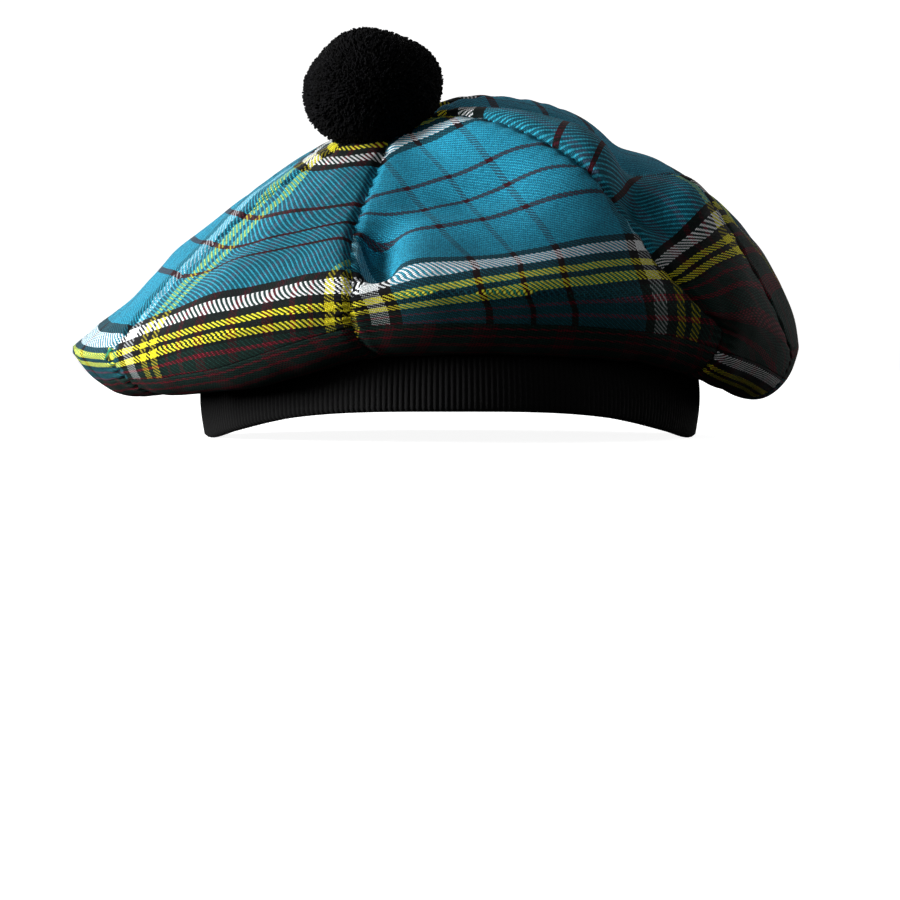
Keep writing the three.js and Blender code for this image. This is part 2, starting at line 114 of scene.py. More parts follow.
# The cut of the gores at the front. At five shares across the gore, from its left
# seam to its right one, and at each of these reaches: the warp count that lies
# there, from the middle of the blue, or of the dark in every other gore, and then
# the weft count, from the middle of the blue.
LIE_ACROSS = np.array([-1, -0.5, 0, 0.5, 1])
LIE_DOWN = np.array(
    [0, .12, .24, .34, .42, .48, .54, .6, .66, .73, .8, .84, .88, .92, .96, 1.01, 1.06, 1.12,
     1.2, 1.4])
LIE = {
    0: ([
        (-27.9, -25.1, -22.9, -21.4, -20.2),
        (-37.3, -32.4, -27.1, -21.5, -15.8),
        (-47.4, -40.4, -31.3, -20.7, -9.8),
        (-55, -47.6, -34.9, -19.8, -4.1),
        (-59.7, -51.5, -36.9, -18.3, 1.6),
        (-62.6, -53, -37.5, -15.9, 7.7),
        (-65.9, -54.6, -37.1, -11.5, 16.2),
        (-68.6, -54.4, -34.1, -5, 26.9),
        (-69.7, -53.7, -29.9, 3.1, 39.5),
        (-72.2, -52.3, -24.6, 11.9, 52.8),
        (-76.3, -50.9, -19.8, 18.8, 62.1),
        (-80.3, -50.9, -17.1, 21.6, 62),
        (-83.8, -51.4, -16, 22.4, 60.3),
        (-87, -52.5, -16.1, 22.1, 60.3),
        (-89.4, -54, -17.2, 21.2, 60.1),
        (-90.9, -55.2, -18.1, 20.6, 59.4),
        (-90.7, -54.6, -17.6, 20.7, 59),
        (-89.4, -53.3, -16.4, 21.6, 59.9),
        (-87.2, -51.5, -14.9, 22.6, 59.4),
        (-82.1, -47.9, -13.4, 21.7, 55.5),
    ], [
        (-127.4, -123, -118.3, -112.7, -106.3),
        (-102.8, -100.3, -96.6, -91.7, -85.9),
        (-76.4, -75.6, -72.7, -68.4, -64.2),
        (-52.2, -52.8, -51.3, -48.1, -44.8),
        (-31.6, -34.6, -34.9, -31.6, -27.9),
        (-15.2, -21.5, -24.3, -19.7, -12.7),
        (0.6, -8, -12.4, -5.5, 4.2),
        (13.5, 6.2, 2.7, 15.6, 19.5),
        (26.9, 21.9, 25.3, 35.5, 35),
        (44.2, 43.7, 47.3, 52.1, 53.1),
        (60, 62.1, 64.4, 65.8, 66.4),
        (66.9, 70.1, 71.2, 70.5, 69.4),
        (72.2, 76.3, 77.3, 74.7, 71.7),
        (76.3, 81.2, 83.2, 80.1, 74.8),
        (80, 85.8, 88.7, 84.8, 78.1),
        (84.8, 91.6, 95.4, 90.2, 82.4),
        (90.8, 97, 101.1, 95.4, 86.6),
        (100, 103.9, 105.4, 100.5, 91.9),
        (111.7, 112.1, 111, 107, 100.6),
        (135.8, 132.5, 129, 125.6, 121.8),
    ]),
    1: ([
        (-3.6, -2.6, -1.6, -0.5, 0.5),
        (-13.8, -7.5, -1.3, 6.2, 13.9),
        (-25.9, -13.2, -1, 14.2, 29.8),
        (-36.5, -18.3, -0.9, 19.6, 40.6),
        (-46, -23.2, -1.3, 23.7, 48.7),
        (-53.9, -27.6, -1.9, 26.2, 54.1),
        (-63.1, -30.9, -1.4, 28.8, 58.6),
        (-71.7, -33, -0.4, 31.2, 62.3),
        (-77.9, -35.6, -0.2, 33.3, 65.9),
        (-81.6, -39, -0.8, 35.3, 70.4),
        (-83.5, -40.9, -1.3, 37.3, 74),
        (-82.4, -40.8, -1, 39.2, 77),
        (-80.9, -39.6, 1.2, 41.8, 80.1),
        (-80.7, -38.3, 4.8, 46.8, 85),
        (-81.1, -36.1, 10.3, 53.6, 91.3),
        (-82.8, -34, 15.9, 61.5, 101.3),
        (-84.8, -33.3, 19.1, 67.1, 109.8),
        (-85.7, -33.8, 19, 68.1, 111.8),
        (-85.7, -34.2, 18.2, 67.3, 111.6),
        (-81.3, -32.8, 15.4, 63, 109.2),
    ], [
        (-99.7, -98.6, -99.3, -105.5, -115.3),
        (-82.7, -76.6, -75.7, -84.9, -99.9),
        (-63.3, -54.2, -53.3, -64, -81.1),
        (-42.2, -33.3, -32, -42.3, -59.4),
        (-23.2, -15.5, -13.1, -21.9, -39.7),
        (-4.6, -2.4, 0.3, -6.9, -26.3),
        (14.9, 10.9, 11.2, 4.7, -13.3),
        (29.2, 22.5, 21.9, 16.2, 0),
        (41.8, 35.5, 33.5, 27.8, 15.7),
        (57, 54.1, 51.9, 46.5, 37.5),
        (69, 68.8, 69.3, 65.6, 58.2),
        (71, 72.8, 76.2, 75.5, 69.8),
        (71.6, 76.1, 82.5, 84.3, 81.6),
        (73.3, 81.1, 88.3, 92.1, 92.4),
        (76.3, 85.5, 93.7, 98.2, 101.1),
        (81.8, 90.9, 99.2, 104.5, 108.5),
        (88, 97.1, 104.8, 109.5, 113.8),
        (97.3, 106.1, 111.9, 114.8, 118.6),
        (110.2, 116.6, 120.4, 122.5, 125),
        (135.7, 138.8, 141, 142.5, 143.7),
    ]),
    2: ([
        (-9.7, -8.3, -7, -5.7, -4.4),
        (-10.6, -6.9, -3.5, 0, 3.4),
        (-12.3, -6, 0.1, 6.1, 12.3),
        (-13, -4.4, 3.9, 12.2, 20.6),
        (-12.1, -2, 7.9, 17.9, 28.1),
        (-9.6, 1.4, 12.2, 23.3, 34.7),
        (-6.3, 5.3, 16.9, 29.5, 40.8),
        (-3.1, 8.9, 21.8, 33.2, 44.2),
        (1.6, 15, 27, 40.2, 53.5),
        (1.7, 16.8, 32.2, 46.2, 58.4),
        (5.1, 20.2, 36.5, 49.4, 57.9),
        (8, 22.8, 38, 49.7, 53.2),
        (7.7, 22.1, 35.6, 44.8, 47),
        (5.7, 19.2, 31.6, 40.4, 45.2),
        (2.3, 15, 27.3, 38, 46.2),
        (-2.4, 10, 23, 36.1, 47),
        (-8, 4.8, 18.5, 32.8, 46.5),
        (-15.2, -0.9, 14, 29.6, 45.3),
        (-22.8, -6.8, 9.5, 26.5, 43.7),
        (-29.5, -12.3, 5, 22.8, 40.9),
    ], [
        (-112.5, -112.3, -112, -111.7, -111.5),
        (-93.7, -92.3, -90.8, -89.3, -87.7),
        (-73.2, -70.6, -67.9, -65.1, -62.2),
        (-54.3, -50.5, -46.6, -42.5, -38.4),
        (-38.8, -33.8, -28.7, -23.4, -18.3),
        (-27.5, -21.1, -14.7, -8.5, -3),
        (-15.4, -7.8, -0.2, 6.4, 11.9),
        (-2.8, 5.7, 14.4, 20.6, 26.2),
        (11.5, 20.2, 29, 35.6, 41.8),
        (29.8, 38.4, 47.1, 54.9, 61.6),
        (46.2, 55.1, 64.3, 73.4, 80.3),
        (55.2, 65.5, 75.1, 85.3, 92.6),
        (66.6, 79.4, 90.6, 98.4, 104),
        (82.4, 95.9, 106.2, 110.2, 112.6),
        (104.8, 112.4, 119, 119.5, 119),
        (125.7, 126.7, 127.9, 126.7, 124.5),
        (140.6, 137.7, 134.8, 131.6, 128),
        (153, 147.2, 141.6, 136.2, 130.9),
        (165.2, 157.2, 149.4, 141.9, 134.6),
        (189.1, 179, 169.2, 159.6, 150.4),
    ]),
    7: ([
        (38.1, 55.8, 74, 93.8, 115.8),
        (30.4, 51.6, 71.9, 89.7, 106),
        (20.4, 45.6, 69.4, 86.7, 97.1),
        (10.6, 38, 64.2, 81.9, 89.8),
        (1.1, 28.6, 53.9, 72.9, 85),
        (-8.1, 18.4, 42.9, 64.3, 81.4),
        (-18.4, 7.7, 32.7, 56.7, 78.5),
        (-29.1, -2.5, 23.8, 50, 75.6),
        (-39.4, -11.6, 16.1, 44.5, 73.6),
        (-49.1, -19.8, 9.8, 40.2, 71.4),
        (-57.1, -26.4, 4.6, 36.2, 68.1),
        (-61.8, -30.8, 0.5, 32, 63.7),
        (-65.3, -34.1, -2.9, 28.6, 60.1),
        (-67.7, -36.5, -5.3, 25.9, 57),
        (-69.3, -38.1, -6.9, 24, 54.6),
        (-70.3, -39, -7.7, 23.2, 53.4),
        (-70, -38.8, -7.8, 22.9, 53.2),
        (-69.9, -38.5, -7.3, 23.8, 54.5),
        (-69.8, -38.1, -6.5, 25.6, 57.4),
        (-68.6, -37.1, -5.5, 27.3, 61.4),
    ], [
        (-115.5, -118.9, -122.1, -124.8, -127.4),
        (-92.2, -95.3, -98.5, -101.1, -102.8),
        (-67.2, -70, -72.9, -75.4, -76.5),
        (-43.9, -46.2, -48.4, -50.3, -52),
        (-24.3, -26, -27.5, -28.6, -30.7),
        (-9.2, -10.4, -11.6, -12.9, -14.7),
        (5.7, 4.8, 3.6, 1.7, 0.5),
        (20.3, 19.4, 18.3, 16.7, 13.6),
        (35.6, 34.4, 33.1, 31.1, 27.2),
        (54.2, 52.5, 50.7, 48.2, 44.5),
        (70.1, 67.6, 65.1, 62.7, 60.1),
        (76.8, 73.3, 70.1, 67.7, 66.7),
        (82.5, 78.2, 74.2, 71.4, 71.7),
        (87.4, 82.7, 78.1, 74.7, 75.7),
        (92.5, 87.7, 83.2, 80, 79.6),
        (98.9, 94.5, 90.3, 86.7, 84.5),
        (105.1, 101.3, 97.7, 94, 90.8),
        (112, 109, 106, 102.9, 100),
        (120.3, 118.1, 115.9, 113.7, 111.6),
        (140.9, 139.5, 138.1, 136.9, 135.8),
    ]),
}
# The other gores are cut alike, with the weft threads straight across.
PLAIN_REACHES = np.array([0, .21, .43, .52, .61, .80, .87, .93, 1.08, 1.2, 1.4])
PLAIN_PICKS = np.array([-112, -72, -22, 0, 22, 72, 85, 93.5, 112, 124, 144])
PLAIN_SHIFTS = {3: (-45, 45)}  # gores that start elsewhere in the sett, in warp and weft

# Under the crown: the warp count down the middle of a panel, the weft count along
# its hem, and whether the weft counts up or down from there
UNDER_LIE = {0: (144, 98, 1), 1: (144, 98, 1), 2: (150, 222, -1), 3: (90, 100, 1),
             4: (120, 100, 1), 5: (150, 100, 1), 6: (180, 100, 1), 7: (144, 98, 1)}
UNDER_SPREAD = {0: 0.54, 1: 0.46, 7: 0.54}  # of the warp, in panels cut across the thread
UNDER_RUN = 60  # millimetres of cloth in one unit of reach

# ------------------------------------------------------------ the shape of the cloth


def between(share, low, high):
    """What lies a share of the way from low to high."""
    return low + share * (high - low)


def smoothly(t, span, value, next_value, slope, next_slope):
    """A curve from one station to the next, with given values and slopes at both."""
    return (value * (2 * t**3 - 3 * t**2 + 1) + next_value * (3 * t**2 - 2 * t**3)
            + span * slope * (t**3 - 2 * t**2 + t) + span * next_slope * (t**3 - t**2))


def around(column, azimuth):
    """One column of SECTIONS at any azimuth, smoothly interpolated."""
    angle, value = SECTIONS[:, 0], SECTIONS[:, COLUMN[column]]
    angle = np.concatenate([[angle[-1] - 360], angle, angle[:2] + 360])
    value = np.concatenate([[value[-1]], value, value[:2]])
    a = SECTIONS[0, 0] + np.mod(azimuth - SECTIONS[0, 0], 360)
    i = np.clip(np.searchsorted(angle, a, side="right") - 1, 1, len(SECTIONS))
    slope = lambda j: (value[j + 1] - value[j - 1]) / (angle[j + 1] - angle[j - 1])
    span = angle[i + 1] - angle[i]
    return smoothly((a - angle[i]) / span, span, value[i], value[i + 1], slope(i), slope(i + 1))


def smooth_table(stations, values, where):
    """values at rising stations, along their first axis, read at where without kinks."""
    slopes = np.gradient(values, stations, axis=0)
    i = np.clip(np.searchsorted(stations, where, side="right") - 1, 0, len(stations) - 2)
    deep = (slice(None),) + (None,) * (values.ndim - 1)
    span = (stations[i + 1] - stations[i])[deep]
    t = (where - stations[i])[deep] / span
    return smoothly(t, span, values[i], values[i + 1], slopes[i], slopes[i + 1])


def on_outline(azimuth):
    radius, a = around("radius", azimuth), np.radians(azimuth)
    x, y = MIDDLE[0] + radius * np.sin(a), MIDDLE[1] - radius * np.cos(a)
    return np.stack([x, y, around("fold", azimuth)], -1)


def on_oval(azimuth, offset, height):
    """A point on the band's oval, pushed out along the oval's normal."""
    a = np.radians(azimuth)
    x, y = BAND_HALF_WIDTH * np.sin(a), -BAND_HALF_DEPTH * np.cos(a)
    nx, ny = x / BAND_HALF_WIDTH**2, y / BAND_HALF_DEPTH**2
    size = np.hypot(nx, ny)
    return np.stack([x + offset * nx / size, y + offset * ny / size, height + 0 * x], -1)


def band_belly(height):
    return BAND_BELLY * np.sin(np.pi * np.minimum(height / (BELLY_TOP * BAND_HEIGHT), 1))


def rim_height(azimuth):
    away = np.abs(np.mod(azimuth + 180, 360) - 180)
    rise = 0
    for height, distance in ((RIM_ARCH, away), (BACK_ARCH, 180 - away)):
        share = np.minimum(distance / RIM_ARCH_HALF_ANGLE, 1) ** RIM_ARCH_SHAPE
        rise = rise + height * (1 + np.cos(np.pi * share)) / 2
    return rise


def bezier(points, t):
    t = t[..., None]
    s = 1 - t
    return (points[0] * s**3 + points[1] * 3 * s * s * t
            + points[2] * 3 * s * t * t + points[3] * t**3)


def plain_cloth(azimuth, reach):
    """The cloth without folds: the crown up to reach 1, the underside beyond."""
    edge = on_outline(azimuth)
    near, far = between(NEAR_REACH, HUB, edge), between(FAR_REACH, HUB, edge)
    near[..., 2], far[..., 2] = around("near", azimuth), around("far", azimuth)
    crown = bezier([HUB, near, far, edge], np.minimum(reach, 1))
    run = np.hypot(crown[..., 0] - HUB[0], crown[..., 1] - HUB[1])
    crown[..., 2] += (HUB[2] - crown[..., 2]) * np.exp(-((run / HUB_FLAT) ** 2))
    join = on_oval(azimuth, JOIN_GAP + band_belly(BAND_JOIN), BAND_JOIN)
    sag = around("sag", azimuth)
    tuck = (around("tuck", azimuth) / around("radius", azimuth))[..., None]
    centre = np.stack([MIDDLE[0] + 0 * sag, MIDDLE[1] + 0 * sag, sag], -1)
    below, turn = between(tuck, edge, centre), between(TURN_SHARE, edge, join)
    below[..., 2], turn[..., 2] = sag, sag - TURN_DROP
    under = bezier([edge, below, turn, join], np.maximum(reach - 1, 0))
    return np.where((reach <= 1)[..., None], crown, under)


def normal_of(surface, azimuth, reach):
    """Outward normals, from points a little to each side."""
    step, pace = 0.05, 0.0005
    along_azimuth = surface(azimuth + step, reach) - surface(azimuth - step, reach)
    along_reach = surface(azimuth, reach + pace) - surface(azimuth, reach - pace)
    cross = np.cross(along_reach, along_azimuth)
    return cross / np.linalg.norm(cross, axis=-1, keepdims=True)


def fold_height(point, reach, folds):
    """How far ridges and valleys lift the cloth, less and less under the outer fold."""
    total = 0
    for x0, y0, x1, y1, height, width in folds:
        x, y, dx, dy = point[..., 0] - x0, point[..., 1] - y0, x1 - x0, y1 - y0
        t = np.clip((x * dx + y * dy) / (dx * dx + dy * dy), 0, 1)
        away = np.hypot(x - t * dx, y - t * dy)
        total = total + height * np.exp(-((away / width) ** 2))
    return np.clip(1 - (reach - 1) * FOLD_FADE, 0, 1) * total


def seam_at(k, reach):
    """The azimuth of seam k at a reach."""
    seam = SEAMS[k] + 0 * reach
    if k in SEAM_LEANS:
        reaches, degrees = SEAM_LEANS[k]
        seam = seam + degrees[0]
        for i in range(1, len(reaches)):
            t = np.clip((reach - reaches[i - 1]) / (reaches[i] - reaches[i - 1]), 0, 1)
            seam = seam + (degrees[i] - degrees[i - 1]) * t * t * (3 - 2 * t)
    return seam


def across_gore(azimuth, reach):
    """Share of the way across its gore, 0 and 1 at the seams."""
    azimuth, reach = np.broadcast_arrays(azimuth, reach)
    a = SEAMS[0] + np.mod(azimuth - SEAMS[0], 360)
    seams = np.stack([seam_at(k, reach) for k in range(GORES + 1)])
    i = (a >= seams[1:GORES]).sum(0)[None]
    left, right = np.take_along_axis(seams, i, 0)[0], np.take_along_axis(seams, i + 1, 0)[0]
    return (a - left) / (right - left)


def cloth(azimuth, reach):
    """The cloth with its folds, each gore puffed between its seams."""
    point = plain_cloth(azimuth, reach)
    across = 2 * across_gore(azimuth, reach) - 1
    swell = np.maximum(np.sin(np.pi * np.minimum(reach, 2) / 2), 0)
    lift = fold_height(point, reach, FOLDS) + GORE_PUFF * (1 - across**2) * swell
    return point + normal_of(plain_cloth, azimuth, reach) * lift[..., None]


def place(points):
    """From the drawing to the part's frame, in metres."""
    return (points + ORIGIN) * MILLIMETRE


# ------------------------------------------------------------ making meshes


def soft_noise(points, size, seed):
    """Smooth random values between about -1 and 1 at places in the drawing."""
    shift = Vector((seed * 17.3, seed * 5.1, seed * 9.7))
    flat = points.reshape(-1, 3) / size
    values = [noise.noise(Vector(p) + shift) for p in flat]
    return np.array(values).reshape(points.shape[:-1])


def mapped_grid(columns, rows, shape):
    """A grid of quads carried onto a surface. shape(x, y), for rising x and y from
    -1 to 1, gives rows of points in the drawing, and the warp and weft counts that
    the UV map keeps, or None."""
    bm = bmesh.new()
    bmesh.ops.create_grid(bm, x_segments=columns, y_segments=rows, size=1)
    flat = np.array([v.co for v in bm.verts])
    column = np.round((flat[:, 0] + 1) / 2 * columns).astype(int)
    row = np.round((flat[:, 1] + 1) / 2 * rows).astype(int)
    bm.verts.index_update()
    points, counts = shape(np.linspace(-1, 1, columns + 1), np.linspace(-1, 1, rows + 1))
    if counts is not None:
        layer = bm.loops.layers.uv.new("cloth")
        for face in bm.faces:
            for loop in face.loops:
                i = loop.vert.index
                loop[layer].uv = counts[row[i], column[i]]
    placed = place(points)
    for vert in bm.verts:
        vert.co = placed[row[vert.index], column[vert.index]]
    return bm


def piece(name, bm, material):
    mesh = bpy.data.meshes.new(name)
    bm.to_mesh(mesh)
    bm.free()
    for polygon in mesh.polygons:
        polygon.use_smooth = True
    mesh.materials.append(material)
    thing = bpy.data.objects.new(name, mesh)
    bpy.context.scene.collection.objects.link(thing)
    return thing


# ------------------------------------------------------------ finishes


class Wire:
    """An output of a shader node. Sums on it add Math nodes."""

    def __init__(self, tree, socket):
        self.tree, self.socket = tree, socket

    def node(self, kind, settings=None, inputs=None, output=0):
        made = self.tree.nodes.new(kind)
        for key, value in (settings or {}).items():
            if key == "stops":
                set_stops(made.color_ramp, value)
            else:
                setattr(made, key, value)
        for key, value in (inputs or {}).items():
            if isinstance(value, Wire):
                self.tree.links.new(value.socket, made.inputs[key])
            else:
                made.inputs[key].default_value = value
        return Wire(self.tree, made.outputs[output])

    def math(self, operation, *values):
        return self.node("ShaderNodeMath", {"operation": operation},
                         dict(enumerate(values)))

    def __add__(self, other):
        return self.math("ADD", self, other)

    __radd__ = __add__

    def __sub__(self, other):
        return self.math("SUBTRACT", self, other)

    def __rsub__(self, other):
        return self.math("SUBTRACT", other, self)

    def __mul__(self, other):
        return self.math("MULTIPLY", self, other)

    __rmul__ = __mul__

    def __truediv__(self, other):
        return self.math("DIVIDE", self, other)

    def __lt__(self, other):
        return self.math("LESS_THAN", self, other)


def set_stops(ramp, stops):
    """Plain steps of colour. The ramp sorts its stops by place, so places come first."""
    ramp.interpolation = "CONSTANT"
    for position, colour in stops[1:-1]:
        ramp.elements.new(position)
    for element, (position, colour) in zip(ramp.elements, stops):
        element.position = position
    for element, (position, colour) in zip(ramp.elements, stops):
        element.color = colour


def mixed(share, first, second, start, **settings):
    """A colour a share of the way from first to second, or to their product."""
    return start.node("ShaderNodeMix", dict(settings, data_type="RGBA"),
                      {0: share, 6: first, 7: second}, 2)


def fuzz(start, scale, detail):
    """Smooth random values between 0 and 1 on the piece, scale to the metre."""
    place_on = start.node("ShaderNodeTexCoord", {}, {}, 3)
    return start.node("ShaderNodeTexNoise", {},
                      {"Vector": place_on, "Scale": scale, "Detail": detail})


def linear(red, green, blue):
    """A colour given as 0 to 255 on screen, as the shader wants it."""
    curve = lambda c: c / 12.92 if c <= 0.04045 else ((c + 0.055) / 1.055) ** 2.4
    return (curve(red / 255), curve(green / 255), curve(blue / 255), 1.0)


def finish(name, **constants):
    """A new material with a bare Principled shader, a Wire to build from, and a
    function that leads a Wire to one of the shader's sockets."""
    material = bpy.data.materials.new(name)
    material.use_nodes = True
    shader = material.node_tree.nodes["Principled BSDF"]
    for key, value in constants.items():
        shader.inputs[key.replace("_", " ")].default_value = value
    start = Wire(material.node_tree, None)

    def wire(key, value):
        material.node_tree.links.new(value.socket, shader.inputs[key])

    return material, start, wire


BLUE = linear(34, 134, 158)
GREEN = linear(12, 42, 36)
BLACK = linear(8, 9, 12)
WHITE = linear(240, 246, 248)
YELLOW = linear(240, 224, 50)
RED = linear(98, 18, 32)
DARK_RED = linear(56, 10, 24)
MAROON = linear(84, 16, 28)

# Half the sett, by counts from the middle of the blue ground
SETT = [
    (0, DARK_RED), (1.1, BLUE), (20, DARK_RED), (24, BLUE), (62, BLACK), (68, WHITE),
    (76, BLACK), (82.7, YELLOW), (87.2, BLACK), (91.2, YELLOW), (95.7, BLACK), (98, GREEN),
    (101.3, RED), (103.7, GREEN), (110.6, RED), (113, GREEN), (121.8, MAROON), (126.8, GREEN),
    (141.6, MAROON), (144, MAROON),
]
# The same with its bright threads painted black: painted shade on the threads that lie beneath others
SHADED_BENEATH_SETT = [(at, BLACK if colour in (WHITE, YELLOW) else colour) for at, colour in SETT]

# How much of the thread beneath shows through, where the weft and where the warp
# is on top, and how far its colour tints the thread on top
THROUGH_WEFT, THROUGH_WARP = 0.08, 0.34
TINT_OF_WEFT, TINT_OF_WARP = 0.26, 0.7
THREAD_EDGE_PAINTED_SHADE, THREAD_CROWN_PAINTED_LIGHT = 0.2, 2.95  # painted shade: brightness at a thread's edge, and the painted highlight its crown adds
THREAD_DIVE = 0.4  # height of a thread where it dives under, against 1 at its crown


def tartan():
    """A twill of two over and two under, thread by thread in the counts of the UV map."""
    material, start, wire = finish("Tartan cloth", Roughness=0.9, Specular_IOR_Level=0.15)
    uv = start.node("ShaderNodeUVMap", {"uv_map": "cloth"})
    end = start.node("ShaderNodeSeparateXYZ", {}, {0: uv}, 0) * THREADS_PER_COUNT
    pick = start.node("ShaderNodeSeparateXYZ", {}, {0: uv}, 1) * THREADS_PER_COUNT
    end_number, pick_number = end.math("FLOOR", end), pick.math("FLOOR", pick)

    def thread_colour(number, sett):
        middle, half = number + 0.5, HALF_SETT * THREADS_PER_COUNT
        share = middle.math("PINGPONG", middle, half) / half
        stops = [(at / HALF_SETT, colour) for at, colour in sett]
        return start.node("ShaderNodeValToRGB", {"stops": stops}, {0: share})

    def rounded(across, along):
        """Height of a thread that lies rounded across it and arched along it."""
        arch = lambda t: 4 * t * (1 - t)
        return arch(across) * between(arch(along), THREAD_DIVE, 1)

    warp_phase = end.math("WRAP", end_number - pick + 1, 4, 0)
    weft_phase = end.math("WRAP", end - pick_number, 4, 0) - 2
    warp_over = warp_phase < 2
    height = between(warp_over, rounded(pick - pick_number, weft_phase / 2),
                     rounded(end - end_number, warp_phase / 2))

    ends, picks = thread_colour(end_number, SETT), thread_colour(pick_number, SETT)
    # Painted shade: white and yellow threads beneath show black in the share that shows through
    shaded_ends = thread_colour(end_number, SHADED_BENEATH_SETT)
    shaded_picks = thread_colour(pick_number, SHADED_BENEATH_SETT)
    top = mixed(warp_over, picks, ends, start)
    beneath = mixed(warp_over, ends, picks, start)
    shaded_beneath = mixed(warp_over, shaded_ends, shaded_picks, start)
    seen = mixed(between(warp_over, THROUGH_WEFT, THROUGH_WARP), top, shaded_beneath, start)
    tinted = mixed(between(warp_over, TINT_OF_WEFT, TINT_OF_WARP), seen, beneath, start,
                   blend_type="MULTIPLY")

    cell = start.node("ShaderNodeCombineXYZ", {}, {0: end_number, 1: pick_number})
    uneven = start.node("ShaderNodeTexWhiteNoise", {"noise_dimensions": "2D"}, {"Vector": cell})
    wool, worn = fuzz(start, 2600.0, 2.0), fuzz(start, 45.0, 3.0)
    grain = between(wool, 0.7, 1.3) * between(worn, 0.85, 1.15) * between(uneven, 0.7, 1.3)
    # Painted shade: the cloth darkens towards each thread's edges and where it dives under, and
    # lightens at its crown, times the wool's random tone
    painted_shade_and_grain = (THREAD_EDGE_PAINTED_SHADE + THREAD_CROWN_PAINTED_LIGHT * height * height) * grain
    grey = start.node("ShaderNodeCombineXYZ", {}, {0: painted_shade_and_grain, 1: painted_shade_and_grain, 2: painted_shade_and_grain})
    wire("Base Color", mixed(1.0, tinted, grey, start, blend_type="MULTIPLY", clamp_result=True))
    wire("Normal", start.node("ShaderNodeBump", {}, {
        "Strength": 0.7, "Distance": 0.0002, "Height": height + 0.4 * wool}))
    return material


def knit():
    material, start, wire = finish("Black knit", Roughness=0.95, Specular_IOR_Level=0.2)
    wool = fuzz(start, 1800.0, 2.0)
    wire("Base Color", mixed(wool, linear(1, 1, 1), linear(7, 7, 8), start))
    wire("Normal", start.node("ShaderNodeBump", {}, {
        "Strength": 0.5, "Distance": 0.0003, "Height": wool}))
    return material


def yarn():
    material, start, wire = finish("Black wool yarn", Roughness=1.0, Specular_IOR_Level=0.1)
    wool, clump = fuzz(start, 900.0, 2.0), fuzz(start, 260.0, 1.0)
    wire("Base Color", mixed(wool * clump * clump * clump * 6, linear(1, 1, 1),
                             linear(10, 10, 12), start))
    return material


# ------------------------------------------------------------ camera

# In front of the bonnet, level with the top of its band and tilted down a little
camera = bpy.data.objects.new("Camera", bpy.data.cameras.new("Camera"))
camera.data.lens = 134.2
camera.data.sensor_width = 36
camera.location = (0.0046, -1.104, 0.029)
camera.rotation_euler = (math.radians(90 - 1.75), 0, 0)
bpy.context.scene.collection.objects.link(camera)
bpy.context.scene.camera = camera

# ------------------------------------------------------------ the cloth

ACROSS, DOWN, UNDER_DOWN = 64, 150, 48  # quads across, down a gore, and down an under panel
CROWDING = 0.35  # how far the quads crowd towards the seams
SEAM_DEPTH, SEAM_WIDTH = 1.1, 1.6  # of the valley that the stitches draw in
PUCKER_HEIGHT, PUCKER_WIDTH = 0.3, 5
PUCKER_RUN, PUCKER_TURNS = 140, 0.95  # millimetres in one unit of reach, radians a millimetre
PUCKER_DRIFT, PUCKER_DRIFT_RUN = 2, 11  # how unevenly the puckers follow each other
SWAYS = [(0.9, 26.0, 1), (0.35, 9.0, 11)]  # height, size and seed of waves in the slack cloth
SWAY_START = 6  # millimetres from a seam where they set in


def lie_of(k, u, reach, arc):
    """The warp and weft counts that lie at shares u and reaches of gore k. arc is the
    way along the cloth from the gore's middle, in millimetres."""
    if reach[0] > HEM_REACH:
        middle_end, first_pick, count = UNDER_LIE[k]
        picks = first_pick + count * (reach[:, None] - HEM_REACH) * UNDER_RUN / PICK_PITCH
        ends = arc / END_PITCH * UNDER_SPREAD.get(k, 1)
        return ends + middle_end, picks + 0 * u[None, :]
    if k in LIE:
        ends, picks = (
            smooth_table(LIE_ACROSS, smooth_table(LIE_DOWN, np.array(table, float), reach).T, u).T
            for table in LIE[k])
    else:
        more_ends, more_picks = PLAIN_SHIFTS.get(k, (0, 0))
        ends = arc / END_PITCH + more_ends
        turned = np.radians(u * (SEAMS[k + 1] - SEAMS[k]) / 2)[None, :]
        straight = reach[:, None] - (1 - np.cos(turned)) * np.minimum(reach, 1)[:, None]
        picks = smooth_table(PLAIN_REACHES, PLAIN_PICKS, straight) + more_picks
    return ends + (HALF_SETT if k % 2 == 0 else 0), picks


def cloth_surface(k, from_reach, to_reach, x, y):
    """Rows of points on gore k or the panel under it, and the counts that lie there."""
    u = (1 + CROWDING) * x - CROWDING * x**3
    reach = between((y + 1) / 2, from_reach, to_reach)
    left, right = seam_at(k, reach), seam_at(k + 1, reach)
    mid, half = (left + right) / 2, (right - left) / 2
    run = np.linalg.norm((plain_cloth(mid, reach) - HUB)[:, :2], axis=-1)
    azimuth = mid[:, None] + u[None, :] * half[:, None]
    reaches = np.repeat(reach[:, None], len(u), 1)
    points = cloth(azimuth, reaches)
    normals = normal_of(cloth, azimuth, reaches)

    from_seam = (1 - np.abs(u))[None, :] * (np.radians(half) * np.maximum(run, 1))[:, None]
    lift = -SEAM_DEPTH * np.exp(-((from_seam / SEAM_WIDTH) ** 2))
    down = reaches * PUCKER_RUN
    turns = down * PUCKER_TURNS + np.sign(u)[None, :] + PUCKER_DRIFT * np.sin(down / PUCKER_DRIFT_RUN)
    lift = lift + PUCKER_HEIGHT * np.exp(-((from_seam / PUCKER_WIDTH) ** 2)) * np.sin(turns)
    sway = sum(height * soft_noise(points, size, k + seed) for height, size, seed in SWAYS)
    lift = lift + sway * (1 - np.exp(-((from_seam / SWAY_START) ** 2)))
    lift = lift + fold_height(points, reaches, HOLLOWS)
    points = points + normals * lift[..., None]

    steps = np.linalg.norm(np.diff(points, axis=1), axis=-1)
    arc = np.concatenate([np.zeros((len(points), 1)), np.cumsum(steps, 1)], 1)
    middle = len(u) // 2
    return points, np.stack(lie_of(k, u, reach, arc - arc[:, middle:middle + 1]), -1)


